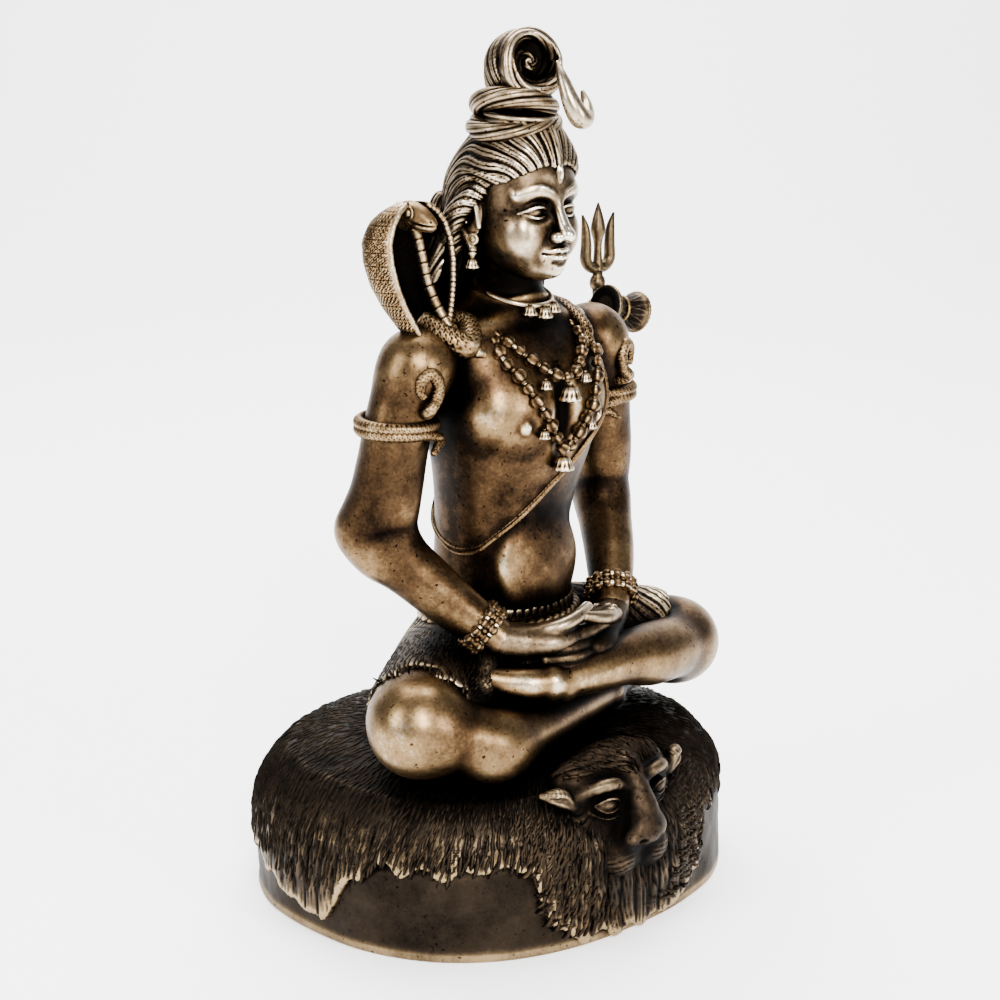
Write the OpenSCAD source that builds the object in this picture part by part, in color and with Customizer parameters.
// Seated meditating Shiva on a rock base with an animal skin, cast brass.
// Millimetres, +Z up, origin at the bottom centre of the base, figure faces -Y.

/* [Base] */
// half width of the rock base, left to right
base_half_x = 116; // [112:1:120]
// half depth of the rock base, front to back
base_half_y = 102; // [99:1:104]
// casting wall of the hollow base
base_wall = 4; // [3:0.5:6]

/* [Ornaments] */
// bead radius of the inner garland
inner_bead = 2.6; // [2.1:0.1:2.8]
// bead radius of the outer garland
outer_bead = 2.9; // [2.4:0.1:3.1]
// half thickness of the sacred thread
thread_r = 1.3; // [0.9:0.1:1.5]

/* [Trident] */
// shaft radius
shaft_r = 2.6; // [2.2:0.1:2.8]
// radial clearance in the socket
socket_gap = 0.08; // [0.05:0.01:0.1]
// height of the socket above its seat
socket_depth = 14; // [10:1:16]

/* [Hidden] */

$fn = 40;

base_y = 3;
rock_top = 58;
skin_top = 80;
base_n = 2.3;
trident_x = 90;
trident_y = 20;
socket_z = 70;
drum_mid = [92, 6, 264];
drum_tilt = 14;
drum_len = 24;
drum_r = 10.5;

// torso stations: height, centre y, half width, half depth
torso_rows = [
  [138, -5, 35, 30], [152, -5, 34, 30], [170, -4, 32.5, 27.5], [190, -7, 35, 29],
  [212, -11, 40, 33], [234, -14, 44, 36], [250, -13, 44, 33], [262, -11, 44, 26],
  [270, -9, 36, 20], [276, -10, 22, 16], [280, -11, 15, 14]];
torso_cy = [for (r = torso_rows) [r[0], r[1]]];
torso_a = [for (r = torso_rows) [r[0], r[2]]];
torso_b = [for (r = torso_rows) [r[0], r[3]]];
torso_n = 2.3;

function bend(v, n) = sign(v) * pow(abs(v), 2 / n);
function ring_at(s, count) = [for (i = [0:count - 1])
  let (t = 360 * i / count)
  [s[1] + s[3] * bend(cos(t), s[5]), s[2] + s[4] * bend(sin(t), s[5]), s[0]]];

// closed loft through stations [z, cx, cy, a, b, n]
module loft(rows, count = 32) {
  pts = [for (s = rows) each ring_at(s, count)];
  last = len(rows) - 1;
  sides = [for (k = [0:last - 1], i = [0:count - 1])
    let (j = (i + 1) % count, p = k * count, q = p + count)
    each [[p + i, q + i, q + j], [p + i, q + j, p + j]]];
  bottom = [[for (i = [0:count - 1]) i]];
  top = [[for (i = [count - 1:-1:0]) last * count + i]];
  polyhedron(points = pts, faces = concat(sides, bottom, top), convexity = 6);
}

module ball(p, r) {
  translate(p) sphere(r = r);
}

// hull chain through points [x, y, z, r]
module chain(points, fn = 14) {
  for (i = [0:len(points) - 2]) {
    hull() {
      ball([points[i][0], points[i][1], points[i][2]], points[i][3], $fn = fn);
      ball([points[i + 1][0], points[i + 1][1], points[i + 1][2]], points[i + 1][3], $fn = fn);
    }
  }
}

module flip() {
  mirror([1, 0, 0]) children();
}

function grow(points, extra) = [for (p = points) [p[0], p[1], p[2], p[3] + extra]];
function front_y(x, z) = lookup(z, torso_cy) - lookup(z, torso_b)
  * pow(1 - pow(min(abs(x) / lookup(z, torso_a), 0.995), torso_n), 1 / torso_n);
function back_y(x, z) = 2 * lookup(z, torso_cy) - front_y(x, z);

rock_rows = [[0, 0, base_y, base_half_x, base_half_y, base_n],
  [26, 0, base_y, base_half_x - 0.5, base_half_y - 0.5, base_n],
  [46, 0, base_y, base_half_x - 2, base_half_y - 2, base_n],
  [rock_top, 0, base_y, base_half_x - 4, base_half_y - 4, base_n]];
skin_rows = [[rock_top, 0, base_y, base_half_x - 4, base_half_y - 4, base_n],
  [66, 0, base_y, base_half_x - 8, base_half_y - 8, base_n],
  [72, 0, base_y, base_half_x - 15, base_half_y - 15, base_n],
  [76, 0, base_y, base_half_x - 25, base_half_y - 25, 2.2],
  [79, 0, base_y, base_half_x - 42, base_half_y - 40, 2.1],
  [skin_top, 0, base_y, base_half_x - 66, base_half_y - 60, 2]];
function shrink(rows, d, drop) = [for (r = rows)
  [r[0] - drop, r[1], r[2], r[3] - d, r[4] - d, r[5]]];

module rock_solid() {
  loft(rock_rows, 40);
}

module skin_solid() {
  loft(skin_rows, 40);
}

module plinth_rock() {
  color("#3a332c")
  difference() {
    rock_solid();
    translate([0, 0, -1]) loft([
      [0, 0, base_y, base_half_x - base_wall, base_half_y - base_wall, base_n],
      [rock_top + 2, 0, base_y, base_half_x - 4 - base_wall, base_half_y - 4 - base_wall, base_n]], 40);
  }
}

// skin hanging down the side of the rock: angle, drop
module hanging(from, to, steps, low, high, out) {
  for (i = [0:steps - 1]) {
    a0 = from + (to - from) * i / steps;
    a1 = from + (to - from) * (i + 1) / steps;
    hull() {
      for (a = [a0, a1])
        for (z = [low + (high - low) * abs(2 * i / steps - 1), rock_top])
          translate([(base_half_x - 8 + out) * bend(sin(a), base_n),
            base_y - (base_half_y - 8 + out) * bend(cos(a), base_n), z])
            cylinder(r = 7, h = 0.5, $fn = 8);
    }
  }
}

module animal_skin() {
  color("#4a4036")
  difference() {
    union() {
      skin_solid();
      difference() {
        union() {
          hanging(-124, -84, 5, 14, 46, 0.6);
          hanging(-84, -34, 4, 42, 48, 0.4);
          hanging(-34, 24, 7, 3, 20, 0.6);
          hanging(24, 236, 9, 44, 47, 0.4);
        }
        mask_solid();
        muzzle_solid();
      }
    }
    rock_solid();
    translate([0, 0, rock_top - base_wall - 2]) loft(shrink(
      [for (r = skin_rows) [r[0] - rock_top, r[1], r[2], r[3], r[4], r[5]]], base_wall, 0), 40);
    translate([trident_x, trident_y, socket_z - 0.05]) cylinder(r = 7.55, h = 30);
  }
}

head_x = -5;

module mask_solid() {
  translate([head_x, 0, 0]) {
    chain([[-20, -84, 44, 18], [-14, -82, 60, 17], [0, -80, 64, 18], [14, -82, 60, 17], [20, -84, 44, 18],
      [0, -86, 24, 15], [-20, -84, 44, 18]]);
    chain([[-17, -96, 67, 5], [0, -94, 71, 6], [17, -96, 67, 5]], 10);
    chain([[-39, -80, 72, 7], [-32, -84, 68, 6]], 10);
    chain([[39, -80, 72, 7], [32, -84, 68, 6]], 10);
  }
}

module mask_back() {
  rock_solid();
  skin_solid();
}

module animal_head() {
  color("#554a3d")
  difference() {
    mask_solid();
    mask_back();
    muzzle_solid();
  }
}

module muzzle_solid() {
  translate([head_x, 0, 0]) {
    chain([[0, -93, 66, 5], [0, -97.5, 54, 6.5], [0, -97, 50, 7]], 12);
    chain([[-9, -93, 39, 10], [9, -93, 39, 10]], 12);
    chain([[-5, -93, 26, 7.5], [5, -93, 26, 7.5]], 12);
    chain([[-9, -94, 38, 9], [-6, -95, 37, 8.5], [0, -96, 38, 8], [6, -95, 37, 8.5], [9, -94, 38, 9]], 10);
  }
}

module animal_muzzle() {
  color("#6d6152")
  difference() {
    muzzle_solid();
    mask_back();
  }
}

right_leg_path = [[-27, 3, 106, 25], [-56, -20, 104, 24], [-80, -35, 102, 22.5],
  [-66, -48, 95, 16], [-40, -54, 92, 14], [0, -46, 91, 12], [36, -36, 89, 10]];
left_leg_path = [[27, 3, 108, 25], [58, -22, 108, 23], [84, -38, 105, 21],
  [70, -50, 107, 15], [40, -56, 111, 13], [8, -58, 112, 11], [-18, -56, 111, 9.5]];
right_foot_path = [[46, -33, 88, 8], [56, -30, 87, 7.5], [66, -27, 85, 6]];
left_foot_path = [[-30, -54, 112, 8], [-40, -48, 114, 7.5], [-50, -42, 118, 6]];

// legs are cut level where they rest on the skin
module above_skin() {
  difference() {
    children();
    skin_solid();
  }
}

module right_leg() {
  color("#8f7a5e")
  difference() {
    chain(right_leg_path);
    skin_solid();
    hip_solid();
  }
}

module left_leg() {
  color("#8f7a5e")
  difference() {
    chain(left_leg_path);
    skin_solid();
    chain(right_leg_path);
    hip_solid();
    chain(right_foot_path, 10);
    bracelet(0.3, $fn = 16);
  }
}

module right_foot() {
  color("#8f7a5e")
  difference() {
    chain(right_foot_path, 10);
    skin_solid();
    chain(right_leg_path);
  }
}

module left_foot() {
  color("#8f7a5e")
  difference() {
    chain(left_foot_path, 10);
    chain(right_leg_path);
    chain(left_leg_path);
    wrap_solid();
  }
}

module hip_solid() {
  loft([[72, 0, 12, 40, 30, 2.2], [88, 0, 10, 44, 34, 2.2], [106, 0, 6, 42, 34, 2.2],
    [124, 0, 0, 38, 32, 2.2], [138, 0, -5, 35, 30, 2.3]], 28);
}

module wrap_solid() {
  chain([[-24, 3, 106, 27.5], [-48, -14, 104, 26.5], [-66, -26, 103, 25]], 16);
  chain([[24, 3, 108, 27], [50, -15, 108, 25.5], [70, -28, 107, 24]], 16);
}

module loincloth() {
  color("#5c4d3d")
  difference() {
    union() {
      hip_solid();
      difference() {
        wrap_solid();
        translate([0, 0, 188]) cube([300, 300, 100], center = true);
      }
    }
    skin_solid();
    loft([[85, 0, 11, 37, 27, 2.2], [106, 0, 6, 35, 27, 2.2], [124, 0, 0, 31, 25, 2.2],
      [139, 0, -5, 29, 24, 2.2]], 24);
    difference() {
      union() {
        chain(right_leg_path);
        chain(left_leg_path);
      }
      hip_solid();
    }
    torso_solid();
    belt_solid();
    arm_solid();
    flip() arm_solid();
    hand_right_solid();
    hand_left_solid();
    bracelet(0.3, $fn = 16);
    flip() bracelet(0.3, $fn = 16);
    chain(grow(right_foot_path, 0.05), 10);
  }
}

module belt_solid() {
  difference() {
    translate([0, 0, 128]) loft([[0, 0, -2, 38.5, 33, 2.2], [7, 0, -4, 38, 32.5, 2.2]], 28);
    hip_solid();
  }
}

module waist_belt() {
  color("#7c6a51")
  difference() {
    belt_solid();
    chain(left_leg_path);
    chain(right_leg_path);
    hand_right_solid();
    hand_left_solid();
  }
}

module torso_solid() {
  loft([for (r = torso_rows) [r[0], 0, r[1], r[2], r[3], torso_n]], 28);
}

// cast hollow, open downwards into the hips
module torso() {
  color("#9a8465")
  difference() {
    torso_solid();
    loft([for (r = torso_rows) if (r[0] < 265)
      [r[0] == 138 ? 137 : r[0] - 3, 0, r[1], r[2] - 5.5, r[3] - 5.5, torso_n]], 24);
  }
}

arm_path = [[57, -10, 258, 16.5], [63, -6, 236, 14.8], [69, -1, 208, 13.4], [75, 4, 182, 14],
  [65, -10, 166, 13.5], [52, -26, 149, 12], [38, -40, 133, 9.5]];

module arm_solid() {
  difference() {
    chain(arm_path);
    translate([-256, -150, 100]) cube([300, 300, 200]);
    translate([-262, -150, 190]) cube([300, 300, 60]);
  }
  intersection() {
    chain(arm_path);
    translate([20, -150, 100]) cube([300, 300, 90]);
  }
}

module arm() {
  difference() {
    arm_solid();
    torso_solid();
    hand_right_solid();
    flip() hand_right_solid();
  }
}

module left_arm() {
  color("#8f7a5e")
  difference() {
    arm();
    hand_left_solid();
  }
}

module right_arm() {
  color("#8f7a5e")
  flip() difference() {
    arm();
    flip() hand_left_solid();
  }
}

module hand_right_solid() {
  chain([[-30, -47, 129, 9], [-16, -51, 129, 8.5], [2, -52, 131, 7], [16, -51, 134, 5], [27, -49, 137, 3.6]], 12);
}

module hand_left_solid() {
  chain([[32, -46, 128, 9], [18, -52, 126, 8], [0, -57, 123, 6.5], [-14, -60, 121, 5]], 12);
}

module right_hand() {
  color("#b5a07c")
  difference() {
    hand_right_solid();
    torso_solid();
    chain(left_leg_path);
    chain(right_leg_path);
  }
}

module left_hand() {
  color("#a8936f")
  difference() {
    hand_left_solid();
    hand_right_solid();
    torso_solid();
    chain(left_leg_path);
    chain(right_leg_path);
  }
}

module neck() {
  color("#8f7a5e")
  difference() {
    translate([0, -12, 280]) cylinder(r = 13.5, h = 20);
    head_solid();
  }
}

module head_solid() {
  loft([[288, 0, -24, 9, 9, 2], [294, 0, -22, 17, 18, 2.2], [304, 0, -18, 21.5, 24, 2.2],
    [316, 0, -15, 24, 27.5, 2.2], [328, 0, -14, 24.5, 28, 2.1], [340, 0, -13, 22, 26, 2],
    [349, 0, -13, 15, 18, 2], [353, 0, -13, 7, 9, 2]], 28);
}

module hairline() {
  // everything above and behind the sloping hairline
  translate([0, -39, 336]) rotate([38, 0, 0]) translate([-100, 0, -200]) cube([200, 200, 400]);
}

module cap_solid() {
  intersection() {
    loft([[296, 0, -4, 22, 20, 2], [306, 0, -6, 26, 25, 2], [320, 0, -9, 28.5, 30, 2],
      [334, 0, -12, 28, 31.5, 2], [346, 0, -14, 23, 26, 2], [354, 0, -15, 16, 18, 2]], 28);
    hairline();
  }
}

module head() {
  color("#b5a07c")
  difference() {
    head_solid();
    translate([0, -13, 345]) cylinder(r = 30, h = 20);
  }
}

module hair_cap() {
  color("#4a4036")
  difference() {
    cap_solid();
    difference() {
      head_solid();
      translate([0, -13, 345]) cylinder(r = 30, h = 20);
    }
    translate([0, -12, 280]) cylinder(r = 13.5, h = 20);
    ear_drop();
    flip() ear_drop();
  }
}

module fall_solid() {
  chain([[-12, 14, 320, 12], [-20, 16, 296, 13], [-24, 20, 274, 12], [-22, 26, 252, 9]]);
  chain([[12, 14, 320, 12], [20, 16, 296, 13], [24, 20, 274, 12], [22, 26, 252, 9]]);
  chain([[0, 16, 318, 13], [0, 18, 296, 14], [0, 24, 272, 12], [0, 30, 248, 9]]);
}

module hair_fall() {
  color("#4a4036")
  difference() {
    fall_solid();
    cap_solid();
    head_solid();
    torso_solid();
    coil_solid();
    translate([0, -12, 280]) cylinder(r = 13.5, h = 20);
    hood_solid();
    arm_solid();
    flip() arm_solid();
  }
}

module topknot_coil() {
  color("#5a4d3e")
  translate([0, -16, 354]) {
    cylinder(r = 17, h = 5);
    translate([0, 0, 5]) cylinder(r1 = 18.5, r2 = 16, h = 5);
    translate([0, 0, 10]) cylinder(r = 14.5, h = 4);
  }
}

module topknot_bun() {
  color("#5a4d3e")
  bun_solid();
}

module bun_solid() {
  translate([0, -18, 368])
  rotate_extrude()
  polygon([[0, 0], [13, 0], [16.5, 5], [18, 12], [16.8, 19], [14, 24], [10.5, 28], [6, 31], [0, 32]]);
}

module crescent_moon() {
  color("#c4b08a")
  difference() {
    translate([5, -33.8, 371]) rotate([90, 0, 0])
    linear_extrude(height = 5)
    difference() {
      circle(r = 12);
      translate([0, 5.5]) circle(r = 9.8);
    }
    bun_solid();
    cap_solid();
    translate([0, -16, 354]) cylinder(r1 = 19, r2 = 16, h = 14);
  }
}

module ear_drop() {
  translate([27.2, -14, 309]) sphere(r = 2.8);
  translate([27.2, -14, 304.2]) sphere(r = 2.3);
  translate([27.2, -14, 299.8]) sphere(r = 2.5);
  translate([27.2, -14, 296]) cylinder(r1 = 3.2, r2 = 2, h = 3, center = true);
}

module left_ear_drop() {
  color("#c4b08a")
  ear_drop();
}

module right_ear_drop() {
  color("#c4b08a")
  flip() ear_drop();
}

module neck_band() {
  color("#7c6a51")
  translate([0, -12, 283.5])
  difference() {
    union() {
      cylinder(r = 15.4, h = 4);
      translate([0, -14.5, -0.5]) sphere(r = 3.2);
    }
    translate([0, 0, -9]) cylinder(r = 13.5, h = 20);
    translate([0, 0, -8.5]) cylinder(r = 30, h = 5);
  }
}

// garlands lie on the chest: u runs from one end to the other
function mala_x(u, half) = half * u;
function mala_z(u, low, rise, p) = low + rise * pow(abs(u), p);

function bead_at(u, half, low, rise, p, r) =
  let (x = mala_x(u, half), z = mala_z(u, low, rise, p))
  [x, front_y(x, z) - r - 0.6, z];

// beads on a cord
module beads(count, half, low, rise, p, r) {
  at = [for (i = [0:count - 1]) bead_at(2 * i / (count - 1) - 1, half, low, rise, p, r)];
  for (c = at) {
    ball(c, r, $fn = 8);
  }
  chain([for (c = at) [c[0], c[1], c[2], r * 0.4]], 6);
}

module inner_mala() {
  color("#b59c72")
  beads(15, 22, 247, 16, 1.6, inner_bead);
}

module outer_mala() {
  color("#b59c72") {
    beads(23, 30, 216, 42, 1.25, outer_bead);
    translate([0, front_y(0, 207) - 4.6, 203.2]) cylinder(r1 = 4.2, r2 = 2.4, h = 7);
    ball([0, front_y(0, 214) - 3, 211.6], 2.6);
  }
}

thread_pts = [[31, 258], [33, 240], [28, 226], [14, 211], [-2, 197], [-14, 185], [-24, 175], [-29.5, 168]];
thread_back = [[-29.5, 168], [-20, 184], [-6, 204], [8, 222], [20, 240], [31, 258]];

module sacred_thread() {
  color("#8a7656")
  difference() {
    union() {
      chain([for (p = thread_pts) [p[0], front_y(p[0], p[1]) - 0.5, p[1], thread_r]], 8);
      chain([for (p = thread_back) [p[0], back_y(p[0], p[1]) + 0.5, p[1], thread_r]], 8);
      chain([[-29.5, front_y(-29.5, 168) - 0.5, 168, thread_r], [-33, -4, 168, thread_r],
        [-29.5, back_y(-29.5, 168) + 0.5, 168, thread_r]], 8);
    }
    torso_solid();
    arm_solid();
    flip() arm_solid();
    fall_solid();
    coil_solid();
    beads(23, 30, 216, 42, 1.25, outer_bead + 0.3, $fn = 10);
    beads(15, 22, 247, 16, 1.6, inner_bead + 0.3, $fn = 10);
  }
}

coil_pts = [for (t = [200:-20:-20]) [33 * cos(t) - 2, -9 + 23 * sin(t), 272 + 4 * sin(t), 5.6]];

module coil_solid() {
  chain(concat([[-42, -26, 270, 5.4]], coil_pts, [[27, -31, 264, 4.2]]), 12);
}

module cobra_coil() {
  color("#6b5b47")
  difference() {
    coil_solid();
    torso_solid();
    hood_solid();
    translate([0, -12, 280]) cylinder(r = 16, h = 20);
    arm_solid();
    flip() arm_solid();
    beads(23, 30, 216, 42, 1.25, outer_bead + 0.3, $fn = 10);
    beads(15, 22, 247, 16, 1.6, inner_bead + 0.3, $fn = 10);
  }
}

module hood_solid() {
  translate([-51, 1, 0]) rotate([0, 0, 14])
  loft([[264, 6, -14, 7, 6, 2], [272, 3, -10, 11, 8, 2], [282, 1, -5, 17, 10, 2], [294, 0, -1, 22, 12, 2],
    [304, 0, 1, 23, 12.5, 2], [314, 0, 1, 19, 12, 2], [321, 0, 0, 12, 9, 2], [325, 0, -1, 5, 5, 2]], 24);
}

module cobra_hood() {
  color("#6b5b47")
  difference() {
    hood_solid();
    torso_solid();
    flip() arm_solid();
  }
}

module cobra_head() {
  color("#8a7656")
  difference() {
    chain([[-50, -6, 319, 6.5], [-47, -13, 320, 6], [-43, -19, 318, 4.4], [-41, -23, 316, 3]], 12);
    hood_solid();
  }
}

module bands(p, q, count, pitch, r, tube) {
  d = q - p;
  l = norm(d);
  translate(p) rotate([0, acos(d[2] / l), atan2(d[1], d[0])])
  for (i = [0:count - 1])
    translate([0, 0, i * pitch]) rotate_extrude() translate([r, 0]) circle(r = tube);
}

// the arm axis between shoulder and elbow carries two snake turns
module armlet() {
  bands([64.5, -4.7, 229], [69, -1, 208], 2, 4.6, 17.3, 2.5);
  translate([64, -24, 231.5]) sphere(r = 4);
  translate([62.5, -26, 237.5]) sphere(r = 4.6);
  translate([61.5, -26.6, 244]) sphere(r = 3.4);
}

module left_armlet() {
  color("#8a7656")
  armlet();
}

module right_armlet() {
  color("#8a7656")
  flip() armlet();
}

module bracelet(extra = 0) {
  bands([42, -36.4, 137], [52, -26, 149], 2, 3.4, 12.8, 2 + extra);
}

module left_bracelet() {
  color("#b59c72")
  bracelet();
}

module right_bracelet() {
  color("#b59c72")
  flip() bracelet();
}

module trident_socket() {
  color("#6b5b47")
  translate([trident_x, trident_y, socket_z])
  difference() {
    union() {
      cylinder(r1 = 7.5, r2 = 5.5, h = socket_depth);
      translate([0, 0, socket_depth - 3]) cylinder(r = 6.6, h = 3);
    }
    translate([0, 0, 2]) cylinder(r = shaft_r + socket_gap, h = socket_depth);
  }
}

module trident_shaft() {
  color("#7c6a51")
  translate([trident_x, trident_y, 0]) {
    translate([0, 0, socket_z + 2.3]) cylinder(r = shaft_r, h = 282 - socket_z - 2.3);
    translate([0, 0, 274]) cylinder(r = shaft_r + 1.4, h = 4);
  }
}

module prong(side) {
  chain([[0, 0, 283, 2], [side * 7, 0, 284, 2], [side * 9.6, 0, 289, 2], [side * 8.6, 0, 297, 1.8],
    [side * 10.5, 0, 304, 1.2]], 10);
}

module trident_prongs() {
  color("#7c6a51")
  translate([trident_x, trident_y, 0])
  difference() {
    union() {
      prong(1);
      prong(-1);
      chain([[0, 0, 282, 2.4], [0, 0, 300, 1.6]], 10);
      chain([[0, 0, 298, 1.8], [0, 0, 304, 3], [0, 0, 315, 0.8]], 10);
    }
    translate([-20, -20, 262]) cube([40, 40, 20]);
  }
}

module on_drum() {
  translate(drum_mid) rotate([0, 90 + drum_tilt, 0]) children();
}

module drum_solid() {
  on_drum()
  rotate_extrude()
  polygon([[0, -drum_len / 2 + 1.5], [drum_r, -drum_len / 2 + 1.5], [drum_r, -drum_len / 2 + 3],
    [7.5, -5.5], [5, -1.6], [5, 1.6], [7.5, 5.5], [drum_r, drum_len / 2 - 3],
    [drum_r, drum_len / 2 - 1.5], [0, drum_len / 2 - 1.5]]);
}

module damaru_drum() {
  color("#7a6448")
  drum_solid();
}

module damaru_skin_inner() {
  color("#5a4d3e")
  on_drum() translate([0, 0, -drum_len / 2]) cylinder(r = drum_r, h = 1.5);
}

module damaru_skin_outer() {
  color("#5a4d3e")
  on_drum() translate([0, 0, drum_len / 2 - 1.5]) cylinder(r = drum_r, h = 1.5);
}

module damaru_cord() {
  color("#8a7656")
  difference() {
    union() {
      on_drum() cylinder(r = 6.4, h = 3.2, center = true);
      translate([90.5, 14, 264.4]) rotate([90, 0, 0]) cylinder(r = 1.8, h = 13, center = true);
      translate([trident_x, trident_y, 262]) cylinder(r = shaft_r + 1.6, h = 5);
    }
    translate([trident_x, trident_y, 200]) cylinder(r = shaft_r, h = 100);
    drum_solid();
  }
}

plinth_rock();
animal_skin();
animal_head();
animal_muzzle();
right_leg();
left_leg();
right_foot();
left_foot();
loincloth();
waist_belt();
torso();
right_arm();
left_arm();
right_hand();
left_hand();
neck();
head();
hair_cap();
hair_fall();
topknot_coil();
topknot_bun();
crescent_moon();
right_ear_drop();
left_ear_drop();
neck_band();
inner_mala();
outer_mala();
sacred_thread();
cobra_coil();
cobra_hood();
cobra_head();
right_armlet();
left_armlet();
right_bracelet();
left_bracelet();
trident_socket();
trident_shaft();
trident_prongs();
damaru_drum();
damaru_skin_inner();
damaru_skin_outer();
damaru_cord();
